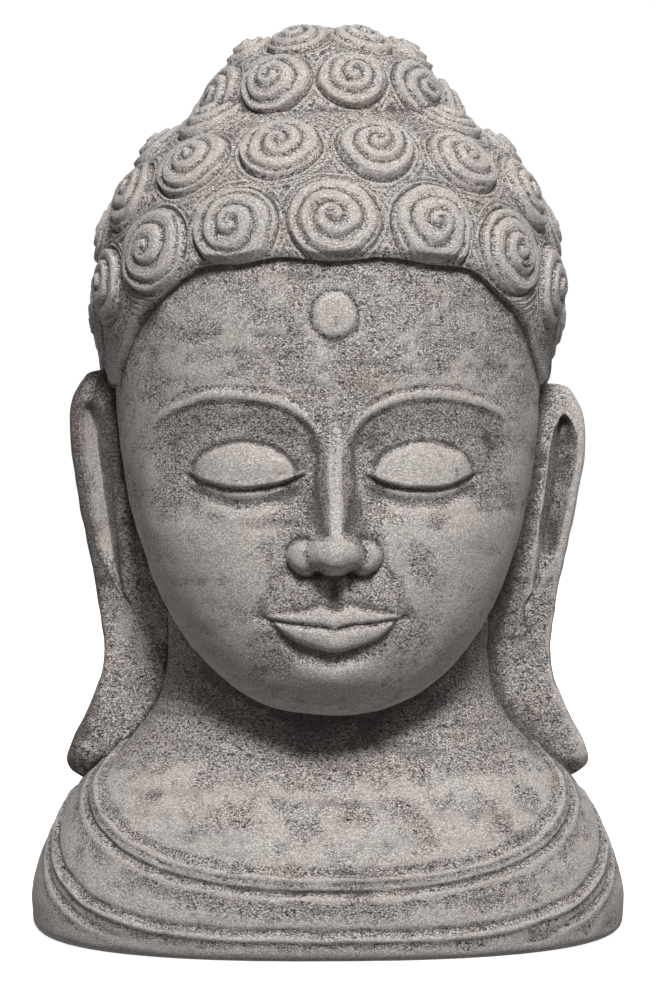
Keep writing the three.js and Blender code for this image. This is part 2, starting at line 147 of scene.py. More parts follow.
# The ears: outer edge from the lobe's tip to the rounded top, as (side, height).
LEFT_EAR_TOP = 494
RIGHT_EAR_TOP = 482
HOLLOW_FOOT = 288
HOLLOW_TOP = 466
HOLLOW_DEPTH = 21
LOBE_FOOT = 150
LOBE_TOP = 270
EAR_WAIST = 262
EAR_MIDDLE = 20
CREST_FOOT = 428
CREST_RISE = 68
RIM_WIDTH = 8.5
RIM_GROWTH = 18
LIP_SIDE = 180
LIP_SPREAD = 20
# Front, back and root of the ear's level section, at the upper ear and at the lobe.
EAR_FRONT, LOBE_FRONT = -2, -8
EAR_BACK, LOBE_BACK = 54, 48
EAR_ROOT, LOBE_ROOT = 138, 92
WAIST_PUSH = 9
WAIST_THIN = 12
TIP_TUCK = 15
BUD_SIDE = 190
BUD_HEIGHT = 326
BUD_PROUD = 5
EAR_OUTLINE = [
    (216, 128), (231, 140), (230, 158), (212, 196), (200, 236),
    (207, 300), (221, 375), (229, 435), (227, 468), (212, 494),
]

# The bust: height, half width, front, back and squareness of its level sections.
BUST_STATIONS = np.array([
    (0, 262, 192, 182, 2.4),
    (40, 262, 192, 183, 2.4),
    (90, 244, 176, 174, 2.35),
    (134, 215, 143, 159, 2.25),
    (170, 175, 107, 141, 2.1),
    (215, 146, 86, 126, 2),
    (310, 142, 84, 118, 2),
])
BOTTOM_EDGE = 10
NECK_TOP = 310

# The robe's two collar bands dip in front and climb over the shoulders.
UPPER_BAND = dict(front=70, climb=100, curve=1, back=24)
LOWER_BAND = dict(front=19, climb=94, curve=1.4, back=20)

# The meshes: the head's columns and rows crowd by these shares.
MOST_TRIANGLES = 199000
SPLITS = 3
COLUMN_CROWDING = 0.45
ROW_CROWDING = 0.07
EDGE_SHARE = 0.94
FOOT_SHARE = 0.9

# ---- Small helpers ---------------------------------------------------------------------------


def mix(low, high, share):
    return low + (high - low) * share


def step(value, start, end):
    share = np.clip((value - start) / (end - start), 0, 1)
    return share * share * (3 - 2 * share)


def hill(distance, width):
    return np.exp(-((distance / width) ** 2))


def knoll(side, height, half_width, half_height):
    return np.sqrt(np.maximum(0, 1 - (side / half_width) ** 2 - (height / half_height) ** 2))


def signed_power(value, power):
    return np.sign(value) * np.abs(value) ** power


def soft_max(first, second, blend):
    gap = np.clip(0.5 + 0.5 * (first - second) / blend, 0, 1)
    return mix(second, first, gap) + blend * gap * (1 - gap)


def soft_min(first, second, blend):
    return -soft_max(-first, -second, blend)


def unevenness(points, wavelength, waves=14):
    """A smooth, wandering field between about -1 and 1, for hand-cut surfaces."""
    directions = rng.normal(size=(waves, 3))
    directions /= np.linalg.norm(directions, axis=1)[:, None]
    pitch = 2 * math.pi / (wavelength * rng.uniform(0.7, 1.6, waves))
    phases = rng.uniform(0, 2 * math.pi, waves)
    field = np.zeros(len(points))
    for direction, rate, phase in zip(directions, pitch, phases):
        field += np.sin(points @ direction * rate + phase)
    return field / math.sqrt(waves)


# ---- Meshes from primitives -------------------------------------------------------------------


def get_points(mesh):
    flat = np.empty(len(mesh.vertices) * 3)
    mesh.vertices.foreach_get("co", flat)
    return flat.reshape(-1, 3)


def set_points(mesh, points):
    mesh.vertices.foreach_set("co", np.ascontiguousarray(points, dtype=np.float32).ravel())
    mesh.update()


def apply_modifier(piece, kind, **settings):
    bpy.ops.object.select_all(action="DESELECT")
    bpy.context.view_layer.objects.active = piece
    piece.select_set(True)
    modifier = piece.modifiers.new(kind.title(), kind)
    for setting, value in settings.items():
        setattr(modifier, setting, value)
    bpy.ops.object.modifier_apply(modifier=modifier.name)


def carve(name, segments, rings, place):
    """A globe whose vertices are moved to place(turn, share): turn 0 is the front and grows
    towards +X, share runs from 0 at the top pole to 1 at the bottom pole."""
    bpy.ops.object.select_all(action="DESELECT")
    coarse = 2 ** SPLITS
    bpy.ops.mesh.primitive_uv_sphere_add(segments=segments // coarse, ring_count=rings // coarse, radius=1)
    form = bpy.context.object
    form.name = name
    apply_modifier(form, "SUBSURF", subdivision_type="SIMPLE", levels=SPLITS, render_levels=SPLITS)
    globe = get_points(form.data)
    globe /= np.linalg.norm(globe, axis=1)[:, None]
    turn = np.arctan2(globe[:, 0], -globe[:, 1])
    share = np.arccos(np.clip(globe[:, 2], -1, 1)) / math.pi
    pole = np.hypot(globe[:, 0], globe[:, 1]) < 1e-6
    turn[pole] = 0
    set_points(form.data, place(turn, share) * MM)
    return form


def join_stone(whole, form):
    apply_modifier(whole, "BOOLEAN", operation="UNION", solver="MANIFOLD", object=form)
    bpy.data.objects.remove(form, do_unlink=True)


# ---- Skull ------------------------------------------------------------------------------------


def egg_point(turn, tilt, swell):
    """A point on the egg: tilt is 90 degrees at the crown and -90 at the chin's pole."""
    above = tilt > 0
    power = np.where(above, 2 / CROWN_SQUARENESS, 2 / CHIN_SQUARENESS)
    span = np.where(above, CROWN_RISE, CHIN_DROP) + swell
    rise = span * signed_power(np.sin(tilt), power)
    reach = np.abs(np.cos(tilt)) ** power
    around = 2 / SECTION_SQUARENESS
    slide = np.clip(-rise / CHIN_DROP, 0, 1) ** CHIN_ADVANCE_POWER
    return np.stack([
        (SKULL_HALF_WIDTH + swell) * reach * signed_power(np.sin(turn), around),
        -(SKULL_HALF_DEPTH + swell) * reach * signed_power(np.cos(turn), around)
        - CHIN_ADVANCE * slide,
        EQUATOR + rise,
    ], axis=1)


def tilt_at(height, swell):
    above = height > EQUATOR
    span = np.where(above, CROWN_RISE, CHIN_DROP) + swell
    power = np.where(above, CROWN_SQUARENESS, CHIN_SQUARENESS) / 2
    return np.arcsin(signed_power(np.clip((height - EQUATOR) / span, -1, 1), power))


# ---- Face -------------------------------------------------------------------------------------


def brow_arch(side):
    """Height of the brow's edge, from the root of the nose out to the temple."""
    across = np.clip((side - BROW_MIDDLE) / BROW_HALF_WIDTH, -1, 1)
    return BROW + BROW_TOP - BROW_RISE * (1 - np.sqrt(1 - BROW_BEND * across ** 2))


def nose_half_width(height):
    down = np.clip((BROW - height) / (BROW - NOSE_TIP), 0, 1)
    return mix(BRIDGE_TOP, BRIDGE_FOOT, down ** 1.3)


def lash_line(side):
    across = (side - EYE_SIDE) / LID_HALF_WIDTH
    return LASH - LASH_HANG + LASH_CURVE * np.minimum(1.5, across ** 2)


def mouth_line(side):
    bow = -2.2 * hill(side, 10)
    return MOUTH - 1 + bow + LIP_CURVE * np.minimum(1.5, (side / MOUTH_HALF_WIDTH) ** 2)


def brow_relief(side, height):
    """The brow's edge runs on into the side of the nose, and the socket sinks below it."""
    inside = soft_min(brow_arch(side) - height, side - nose_half_width(height), 16)
    along = 1 - step(side, BROW_MIDDLE + 44, BROW_MIDDLE + 80)
    fade = step(height, LASH - 50, LASH - 4) * along
    socket = -SOCKET_STEP * step(inside, -1, 4) - SOCKET_DEPTH * step(inside, 0, 30)
    rim = 1.6 * hill(inside + 3.5, 4)
    groove = -1.7 * hill(inside + 10, 1.9) * step(side, 14, 30)
    return (socket + rim) * fade + groove * step(height, BROW - 30, BROW - 14) * along


def eye_relief(side, height):
    lash = lash_line(side)
    across = (side - EYE_SIDE) / LID_HALF_WIDTH
    ball = np.hypot(across, (height - LASH - 3) / LID_HALF_HEIGHT)
    below = 1 - step(height, lash - 1.4, lash + 0.6)
    lid = LID_PROUD * np.maximum(0, 1 - ball ** 2) ** mix(0.5, 0.8, below)
    crease = -1.8 * hill((ball - 1.05) * LID_HALF_HEIGHT, 2.2) * step(height, lash + 4, lash + 14)
    lid_fold = 1.2 * hill((ball - 0.84) * LID_HALF_HEIGHT, 2.4) * step(height, lash + 6, lash + 14)
    length = 1 - step(np.abs(across), 0.98, 1.3)
    lid_edge = 1.5 * hill(height - lash - 2.6, 2.4) * length
    drop = -3.4 * below * length * (1 - step(lash - height, 6, 22))
    slit = -2 * hill(height - lash + 1, 1.5) * length
    lower_lid = 1.7 * hill(height - lash + 6.5, 2.6) * length
    pouch = 1.6 * hill(height - lash + 19, 6) * (1 - step(np.abs(across), 0.5, 1.1))
    return lid + crease + lid_fold + lid_edge + drop + slit + lower_lid + pouch


def nose_relief(side, height):
    down = np.clip((BROW - height) / (BROW - NOSE_TIP), 0, 1)
    root = 1 - step(height, BROW - 16, BROW + 34)
    rise = mix(NOSE_ROOT, NOSE_PROUD - 4, down ** 1.15) * root
    foot = step(height, NOSE_BASE - 2, NOSE_BASE + 8)
    half_width = nose_half_width(height)
    bridge = rise * (1 - step(side, 0.22 * half_width, 1.25 * half_width)) * foot
    above_wing = height - NOSE_BASE - WING_LIFT
    tip = NOSE_PROUD * knoll(side, height - NOSE_TIP + 1, TIP_HALF_WIDTH, TIP_HALF_HEIGHT) ** 0.8
    wing = WING_PROUD * knoll(side - WING_SIDE, above_wing, WING_HALF_WIDTH, WING_HALF_HEIGHT) ** 0.6
    wing_slope = 27 * hill(side - WING_SIDE + 10, 15) * hill(height - NOSE_BASE - 20, 25) * foot
    nostril = -9 * hill(np.hypot((side - 13) / 1.7, height - NOSE_BASE - 1), 4.5)
    crease = -2 * hill(np.hypot(side - WING_SIDE + 1, above_wing) - 16.5, 2) \
        * step(side, WING_SIDE - 2, WING_SIDE + 6)
    body = soft_max(soft_max(bridge, tip, 14), wing_slope, 14)
    return soft_max(body, wing, 12) + nostril + crease


def lip_roll(share, fullest, spread_share):
    return np.sqrt(np.maximum(0, 1 - ((share - fullest) / spread_share) ** 2))


def mouth_relief(side, height):
    line = mouth_line(side)
    taper = np.maximum(0, 1 - (side / MOUTH_HALF_WIDTH) ** 2)
    low_taper = np.maximum(0, 1 - (side / (0.88 * MOUTH_HALF_WIDTH)) ** 2)
    upper_height = 0.1 + (UPPER_LIP + 3.4 * hill(side - 13, 8)) * taper ** 0.8
    lower_height = 0.1 + LOWER_LIP * low_taper ** 0.7
    up = (height - line) / upper_height
    down = (line - height) / lower_height
    upper_lip = UPPER_LIP_PROUD * lip_roll(up, 0.35, 0.78) \
        * (1 - step(height - line - upper_height, -1.2, 1.4))
    lower_lip = LOWER_LIP_PROUD * lip_roll(down, 0.42, 0.72) \
        * (1 - step(line - lower_height - height, -1.2, 1.6))
    lips = np.where(height > line, upper_lip * taper ** 0.35, lower_lip * low_taper ** 0.35)
    parting = -PARTING_DEPTH * hill(height - line, 1.7) \
        * (1 - step(side, MOUTH_HALF_WIDTH - 4, MOUTH_HALF_WIDTH + 8))
    corner = -3 * hill(np.hypot(side - MOUTH_HALF_WIDTH - 2, height - line), 6)
    fold = -4 * hill(height - line + lower_height + 9, 7) * hill(side, 34)
    under_nose = step(height, MOUTH + UPPER_LIP, MOUTH + UPPER_LIP + 8) \
        * (1 - step(height, NOSE_BASE - 8, NOSE_BASE + 2))
    philtrum = (1.2 * hill(side - 9, 3.5) - 2.2 * hill(side, 5)) * under_nose
    muzzle = MUZZLE_PROUD * hill(side, 60) * hill(height - MOUTH, 40)
    return muzzle + lips + parting + corner + fold + philtrum


def dot_relief(x, height):
    ring = np.hypot(x, height - DOT_HEIGHT)
    flat = DOT_PROUD * (1 - step(ring, DOT_RADIUS - 3, DOT_RADIUS))
    crown = DOT_CROWN * knoll(ring, 0, DOT_RADIUS, 1)
    return flat + crown - DOT_GROOVE * hill(ring - DOT_RADIUS - 1.2, 1.7)


def face_relief(x, height):
    side = np.abs(x)
    chin = CHIN_PROUD * hill(side, 42) * hill(height - CHIN - CHIN_LIFT, 29)
    cheek = CHEEK_PROUD * hill(side - CHEEK_SIDE, 50) * hill(height - NOSE_BASE - 8, 58)
    smile = -1.8 * hill(side - mix(34, 70, np.clip((NOSE_BASE + 14 - height) / 60, 0, 1)), 7) \
        * step(height, MOUTH - 6, MOUTH + 12) * (1 - step(height, NOSE_BASE - 4, NOSE_BASE + 22))
    features = brow_relief(side, height) + eye_relief(side, height) \
        + nose_relief(side, height) + mouth_relief(side, height)
    return features + chin + cheek + smile + dot_relief(x, height)


def place_head(turn, share):
    # Columns crowd towards the front and rows towards the features.
    turn = turn - COLUMN_CROWDING * np.sin(turn)
    tilt = mix(math.pi / 2, -math.pi / 2, share + ROW_CROWDING * np.sin(2 * math.pi * share))
    points = egg_point(turn, tilt, np.zeros_like(turn))
    facing = step(np.cos(turn), 0, 0.4) * step(points[:, 2], CHIN, CHIN + 6)
    points[:, 1] -= face_relief(points[:, 0], points[:, 2]) * facing
    return points


# ---- Hair and curls ---------------------------------------------------------------------------


def leaning_direction(lean, polar, turn):
    lean, polar, turn = map(math.radians, (lean, polar, turn))
    x = math.sin(polar) * math.sin(turn)
    y = -math.sin(polar) * math.cos(turn)
    z = math.cos(polar)
    return np.array([x, y * math.cos(lean) + z * math.sin(lean), z * math.cos(lean) - y * math.sin(lean)])


def cap_point(direction):
    above = direction[2] > 0
    power = CROWN_SQUARENESS if above else CHIN_SQUARENESS
    span = (CROWN_RISE if above else CHIN_DROP) + HAIR_THICKNESS
    level = (abs(direction[0]) / (SKULL_HALF_WIDTH + HAIR_THICKNESS)) ** SECTION_SQUARENESS \
        + (abs(direction[1]) / (SKULL_HALF_DEPTH + HAIR_THICKNESS)) ** SECTION_SQUARENESS
    size = level ** (power / SECTION_SQUARENESS) + (abs(direction[2]) / span) ** power
    point = direction * size ** (-1 / power)
    slide = max(0, -point[2]) / CHIN_DROP
    return point + np.array([0, -CHIN_ADVANCE * min(1, slide) ** CHIN_ADVANCE_POWER, EQUATOR])


def dome_point(direction):
    return direction * np.array(DOME_AXES) + np.array([0, DOME_SET_BACK, DOME_HEIGHT])


def lay_curls(rows, lean, surface):
    """Centre, radius, first spiral angle, winding and tangent frame of every curl."""
    curls = []
    for polar, count, start, radius, first, last in rows:
        for index in range(count):
            degrees = start + 360 * index / count
            from_front = abs((degrees + 180) % 360 - 180)
            if first <= from_front <= last:
                direction = leaning_direction(lean, polar, degrees)
                east = np.cross([0, 0, 1], direction)
                east = east / np.linalg.norm(east) if np.linalg.norm(east) > 0.01 else np.array([1, 0, 0])
                north = np.cross(direction, east)
                winding = 1 if rng.random() < 0.6 else -1
                curls.append((surface(direction), radius * rng.uniform(0.95, 1.04),
                              rng.uniform(0, 2 * math.pi), winding, east, north))
    return curls


def nearest_curl(points, curls):
    """For each point, its distance from the nearest curl's middle and its angle round it, with
    that curl's radius; nearness counts in shares of the radius."""
    best = np.full(len(points), np.inf)
    distance = np.zeros(len(points))
    angle = np.zeros(len(points))
    radius = np.full(len(points), 30.0)
    for centre, curl_radius, first, winding, east, north in curls:
        offset = points - centre
        around = np.arctan2(offset @ north, offset @ east)
        oval = 1 + 0.035 * np.sin(2 * around + first) + 0.02 * np.sin(3 * around + 2 * first)
        away = np.linalg.norm(offset, axis=1) * oval
        closer = away / curl_radius < best
        best[closer] = away[closer] / curl_radius
        distance[closer] = away[closer]
        radius[closer] = curl_radius
        angle[closer] = winding * around[closer] + first
    return distance, angle, radius


def curl_relief(points, curls):
    """Height of the carved curls: a stepped spiral that climbs to its middle, with fainter
    rings round it where the curls meet."""
    distance, angle, radius = nearest_curl(points, curls)
    inside = radius - distance
    pitch = CURL_PITCH * radius
    laps = inside / pitch
    part = (laps + angle / (2 * math.pi) + 0.06 * unevenness(points, 30)) % 1
    riser = 1 - (1 - np.clip(part / 0.42, 0, 1)) ** 2.2
    climb = CURL_CLIMB * (np.minimum(laps, 2.2) + 1.25 * (riser - part))
    crevice = -1.7 * hill(part * pitch, 1.3) - 1.3 * hill((1 - part) * pitch, 1.5)
    body = CURL_EDGE + climb + crevice * step(inside, 0, 4)
    edge = step(inside, -1, 3.2)
    outside = -inside
    ripple = np.cos(2 * math.pi * (outside + 0.6 * unevenness(points, 40)) / RING_SPACING)
    rings = -1.3 * ripple * np.exp(-np.maximum(outside, 0) / 22) - 1.4 * hill(outside - 0.5, 1.6)
    return mix(rings + 1.6 * hill(outside - 6, 7), body, edge)


def hairline(turn):
    share = np.minimum(1, np.abs(np.sin(turn)) / ARCH_SHARE)
    arch = 1 - share ** ARCH_POWER
    scallop = -SCALLOP * np.cos(16 * turn) * arch
    front = mix(TEMPLE, HAIRLINE, arch) + scallop
    nape = mix(TEMPLE, NAPE, np.maximum(0, -np.cos(turn)) ** NAPE_CURVE)
    return np.where(np.cos(turn) >= 0, front, nape)


def hair_thickness(turn, height):
    """The hair thins out in front of the ears, where it runs down to a point."""
    front = step(np.cos(turn), -0.3, 0.15)
    thinning = front * (1 - step(height, TEMPLE, HAIRLINE - 20))
    return HAIR_THICKNESS - (HAIR_THICKNESS - TEMPLE_THICKNESS) * thinning


def place_hair(turn, share):
    edge = hairline(turn)
    tilt = mix(math.pi / 2, tilt_at(edge, HAIR_THICKNESS), np.minimum(share / EDGE_SHARE, 1))
    skin = egg_point(turn, tilt, np.full_like(turn, HAIR_THICKNESS))
    body = hair_thickness(turn, skin[:, 2])
    lip = step(skin[:, 2] - edge, 0, 6)
    relief = curl_relief(skin, cap_curls) * body / HAIR_THICKNESS
    swell = body - HAIR_EDGE_DROP * (1 - lip) + relief * mix(0.2, 1, lip)
    points = egg_point(turn, tilt, swell)
    tuck = egg_point(turn, tilt_at(edge, -HAIR_TUCK), np.full_like(turn, -HAIR_TUCK))
    middle = np.array([0, 0, TEMPLE])
    under = step(share, EDGE_SHARE, 0.97)[:, None]
    points = mix(points, tuck, under)
    return mix(points, middle, step(share, 0.97, 1)[:, None])


def place_dome(turn, share):
    tilt = mix(math.pi / 2, -math.pi / 2, share)
    outward = np.stack([np.cos(tilt) * np.sin(turn), -np.cos(tilt) * np.cos(turn), np.sin(tilt)], axis=1)
    skin = outward * np.array(DOME_AXES) + np.array([0, DOME_SET_BACK, DOME_HEIGHT])
    return skin + outward * curl_relief(skin, dome_curls)[:, None]


# ---- Ears -------------------------------------------------------------------------------------


def spline(knots, share):
    """Points on a smooth curve through the knots; share runs from 0 to 1 along it."""
    knots = np.asarray(knots, dtype=float)
    place = np.clip(share, 0, 1) * (len(knots) - 1)
    index = np.minimum(place.astype(int), len(knots) - 2)
    part = (place - index)[:, None]
    before = knots[np.maximum(index - 1, 0)]
    low, high = knots[index], knots[index + 1]
    after = knots[np.minimum(index + 2, len(knots) - 1)]
    return low + 0.5 * part * (high - before + part * (
        2 * before - 5 * low + 4 * high - after + part * (3 * (low - high) + after - before)))


def ear_section(outer, height):
    """Corners of an ear's level section: from its root along the flat front, down into the
    hollow, up to the rim and round the back."""
    low = np.clip((HOLLOW_FOOT + 52 - height) / 57, 0, 1)
    arch = np.sqrt(1 - np.clip((height - HOLLOW_TOP + 30) / 31, 0, 0.98) ** 2)
    rim = outer - RIM_WIDTH - RIM_GROWTH * low ** 1.6
    lip = np.minimum(LIP_SIDE + LIP_SPREAD * np.clip((height - HOLLOW_FOOT) / 172, 0, 1), rim - 5)
    lip, rim = mix(mix(lip, rim, 0.5), lip, arch), mix(mix(lip, rim, 0.5), rim, arch)
    depth = HOLLOW_DEPTH * step(height, HOLLOW_FOOT - 8, HOLLOW_FOOT + 75) \
        * (1 - step(height, HOLLOW_TOP - 4, HOLLOW_TOP + 1))
    lobe = 1 - step(height, LOBE_FOOT, LOBE_TOP)
    waist = hill(height - EAR_WAIST, 55)
    tip = 1 - step(height, 126, 152)
    front = mix(EAR_FRONT, LOBE_FRONT, lobe) + WAIST_PUSH * waist + TIP_TUCK * tip
    back = mix(EAR_BACK, LOBE_BACK, lobe) - WAIST_THIN * waist
    root = mix(EAR_ROOT, LOBE_ROOT, lobe)
    groove = mix(lip, rim, 0.38)
    across = [
        (mix(root, lip, 0.6), front - 5),
        (lip - 1.5, front - 4),
        (lip + 1, front - 3.4 + 0.12 * depth),
        (mix(lip, groove, 0.6), front - 2 + 0.62 * depth),
        (groove, front - 2 + depth),
        (mix(groove, rim, 0.6), front + 0.5 * depth),
        (rim - 0.5, front + 0.08 * depth),
        (rim + 1, front),
    ]
    plain = 1 - step(height, HOLLOW_FOOT - 45, HOLLOW_FOOT - 5)
    for index, (x, y) in enumerate(across):
        share = (index + 1) / (len(across) + 1)
        plain_x = mix(root, outer - 3, share)
        plain_y = front - 5 + 6 * share
        across[index] = (mix(x, plain_x, plain), mix(y, plain_y, plain))
    section = [(root, back + 24), (root, front - 6)] + across + [
        (outer - 2.5, front + 1),
        (outer, front + 9),
        (outer - 2, back - 12),
        (outer - 12, back),
    ]
    crest = np.sqrt(1 - np.clip((height - CREST_FOOT) / CREST_RISE, 0, 0.97) ** 2)
    return [(x, EAR_MIDDLE + (y - EAR_MIDDLE) * crest) for x, y in section]


def place_ear(side, top):
    def place(turn, share):
        edge = spline(EAR_OUTLINE, 1 - share)
        height = edge[:, 1]
        corners = np.stack([np.stack(np.broadcast_arrays(x, y), axis=1)
                            for x, y in ear_section(edge[:, 0], height)], axis=1)
        count = corners.shape[1]
        spot = (turn / (2 * math.pi) % 1) * count
        index = spot.astype(int) % count
        part = (spot - np.floor(spot))[:, None]
        rows = np.arange(len(turn))
        before, low, high, after = (corners[rows, (index + shift) % count] for shift in (-1, 0, 1, 2))
        tension = 0.3
        square, cube = part ** 2, part ** 3
        section = low * (2 * cube - 3 * square + 1) + high * (3 * square - 2 * cube) \
            + tension * (high - before) * (cube - 2 * square + part) \
            + tension * (after - low) * (cube - square)
        bud = BUD_PROUD * hill(section[:, 0] - BUD_SIDE, 8) * hill(height - BUD_HEIGHT, 20)
        section[:, 1] -= bud * (section[:, 1] < 30)
        end = np.minimum(share, 1 - share) / 0.03
        close = np.sqrt(1 - (1 - np.clip(end, 0, 1)) ** 2)[:, None]
        section = mix(corners.mean(axis=1), section, close)
        lift = (top - LEFT_EAR_TOP) * step(height, 300, 470)
        return np.stack([side * section[:, 0], section[:, 1], height + lift], axis=1)
    return place


# ---- Neck, shoulders and robe -----------------------------------------------------------------


def bust_station(height):
    """Half width, front, back and squareness on smooth curves through the stations."""
    levels = BUST_STATIONS[:, 0]
    index = np.clip(np.searchsorted(levels, height, side="right") - 1, 0, len(levels) - 2)
    low, high = BUST_STATIONS[index], BUST_STATIONS[index + 1]
    before = BUST_STATIONS[np.maximum(index - 1, 0)]
    after = BUST_STATIONS[np.minimum(index + 2, len(levels) - 1)]
    gap = (high - low)[:, :1]
    part = np.clip((height[:, None] - low[:, :1]) / gap, 0, 1)
    slope_low = (high - before) / (high - before)[:, :1] * gap
    slope_high = (after - low) / (after - low)[:, :1] * gap
    square, cube = part ** 2, part ** 3
    values = low * (2 * cube - 3 * square + 1) + high * (3 * square - 2 * cube) \
        + slope_low * (cube - 2 * square + part) + slope_high * (cube - square)
    return values[:, 1:].T


def band_height(turn, front, climb, curve, back):
    swing = 1 - np.cos(turn)
    return front + climb * np.minimum(1, swing) ** curve + back * np.maximum(0, swing - 1)


def robe_relief(turn, height):
    """Two folded edges of the robe: each a thin raised ridge over a flat band with a groove."""
    over = height - band_height(turn, **UPPER_BAND)
    lower = band_height(turn, **LOWER_BAND)
    under = height - lower
    upper_fold = 2.6 * hill(over, 2.4) - 1.2 * hill(over - 6, 3.5) - 2.4 * hill(over + 12.5, 2.6) \
        + 1.6 * step(over, -11, -8) * (1 - step(over, -2, 3)) + 1.6 * hill(over + 17, 4)
    shown = step(lower, 20, 45)
    lower_fold = 2.8 * hill(under, 2.8) - 2.4 * hill(under - 7, 2.8) - 1.9 * hill(under + 14, 3) * shown \
        + 1.0 * hill(under + 20, 3) * shown
    return upper_fold + lower_fold


def place_bust(turn, share):
    height = NECK_TOP * (1 - np.clip(share / FOOT_SHARE, 0, 1))
    half_width, front, back, squareness = bust_station(height)
    edge = np.clip(1 - height / BOTTOM_EDGE, 0, 1)
    inset = -BOTTOM_EDGE * (1 - np.sqrt(1 - edge ** 2))
    swell = robe_relief(turn, height) * step(height, 2, 10) + inset
    power = 2 / squareness
    depth = np.where(np.cos(turn) > 0, front, back)
    close = 1 - np.clip((share - FOOT_SHARE) / (1 - FOOT_SHARE), 0, 1)
    top = step(share, 0, 0.01)
    return np.stack([
        (half_width + swell) * signed_power(np.sin(turn), power) * close * top,
        -(depth + swell) * signed_power(np.cos(turn), power) * close * top,
        height,
    ], axis=1)


# ---- The carving ------------------------------------------------------------------------------

cap_curls = lay_curls(CAP_ROWS, CAP_LEAN, cap_point)
dome_curls = lay_curls(DOME_ROWS, DOME_LEAN, dome_point)


def carve_bust():
    stone = carve("stone_bust_carving", 560, 420, place_head)
    forms = [
        carve("hair", 720, 300, place_hair),
        carve("topknot", 420, 180, place_dome),
        carve("right_ear", 140, 220, place_ear(1, RIGHT_EAR_TOP)),
        carve("left_ear", 140, 220, place_ear(-1, LEFT_EAR_TOP)),
        carve("shoulders", 560, 260, place_bust),
    ]
    for form in forms:
        join_stone(stone, form)
    return stone


def thin_out(stone, most):
    """Take triangles from the flat stretches until the piece is under its limit."""
    stone.data.calc_loop_triangles()
    ratio = most / len(stone.data.loop_triangles)
    settings = dict(decimate_type="COLLAPSE", ratio=min(1, ratio), use_collapse_triangulate=True)
    apply_modifier(stone, "DECIMATE", **settings)


def edge_pairs(mesh):
    pairs = np.empty(len(mesh.edges) * 2, dtype=np.int32)
    mesh.edges.foreach_get("vertices", pairs)
    return pairs.reshape(-1, 2)


def spread(values, pairs, rounds):
    """Average values with their neighbours along the edges, several times over."""
    count = np.bincount(pairs.ravel(), minlength=len(values))[:, None]
    for _ in range(rounds):
        total = np.stack([
            np.bincount(pairs[:, 0], weights=column[pairs[:, 1]], minlength=len(values))
            + np.bincount(pairs[:, 1], weights=column[pairs[:, 0]], minlength=len(values))
            for column in values.T
        ], axis=1)
        values = 0.5 * values + 0.5 * total / count
    return values


def get_normals(mesh):
    flat = np.empty(len(mesh.vertices) * 3, dtype=np.float32)
    mesh.vertex_normals.foreach_get("vector", flat)
    return flat.reshape(-1, 3).astype(float)


def hand_cut(stone):
    """Merge the slivers along the joints, then leave the surface uneven, as hand tools do."""
    bpy.ops.object.mode_set(mode="EDIT")
    bpy.ops.mesh.select_all(action="SELECT")
    bpy.ops.mesh.remove_doubles(threshold=0.3 * MM)
    bpy.ops.object.mode_set(mode="OBJECT")
    points = get_points(stone.data)
    above_foot = step(points[:, 2], 0.004, 0.012)
    sway = [0.2 * unevenness(points, 0.017) + 0.5 * unevenness(points, 0.05) for _ in range(3)]
    points += np.stack(sway, axis=1) * above_foot[:, None] * MM
    points[:, 2] = np.maximum(points[:, 2], 0)
    set_points(stone.data, points)


def write_attribute(mesh, name, values):
    attribute = mesh.attributes.new(name, "FLOAT", "POINT")
    attribute.data.foreach_set("value", np.ascontiguousarray(values, dtype=np.float32))


def mark_stone(stone):
    """Write what the finish needs along the surface: how hollow it is, and the curls' rings."""
    mesh = stone.data
    points = get_points(mesh)
    pairs = edge_pairs(mesh)
    normals = get_normals(mesh)
    near = np.einsum("ij,ij->i", spread(points, pairs, 6) - points, normals) / MM
    wide = np.einsum("ij,ij->i", spread(points, pairs, 40) - points, normals) / MM
    # This hollow value drives the painted shade and grime in the finish's hollows.
    write_attribute(mesh, "hollow", np.clip(0.5 + 0.4 * near + 0.05 * wide, 0, 1))
    location = points / MM
    cap = nearest_curl(location, cap_curls)
    dome = nearest_curl(location, dome_curls)
    distance = np.minimum(cap[0], dome[0])
    turn = np.arctan2(points[:, 0], -points[:, 1])
    swell = np.hypot(points[:, 0], points[:, 1])
    in_hair = step(location[:, 2] - hairline(turn), -4, 3) * step(swell, 0.15, 0.17)
    in_hair = np.maximum(in_hair, step(location[:, 2], HAIRLINE + 20, HAIRLINE + 30))
    write_attribute(mesh, "ring_distance", distance * MM)
    write_attribute(mesh, "hair_mask", in_hair)


# ---- Finish -----------------------------------------------------------------------------------


class Link:
    """A socket in a finish; arithmetic on it adds Math nodes."""

    def __init__(self, finish, socket):
        self.finish = finish
        self.socket = socket

    def math(self, operation, first, second=0.0):
        return self.finish.node("ShaderNodeMath", dict(operation=operation), {0: first, 1: second})

    def __add__(self, other):
        return self.math("ADD", self, other)

    def __radd__(self, other):
        return self.math("ADD", other, self)

    def __sub__(self, other):
        return self.math("SUBTRACT", self, other)

    def __rsub__(self, other):
        return self.math("SUBTRACT", other, self)

    def __mul__(self, other):
        return self.math("MULTIPLY", self, other)

    def __rmul__(self, other):
        return self.math("MULTIPLY", other, self)

    def __pow__(self, power):
        return self.math("POWER", self, power)


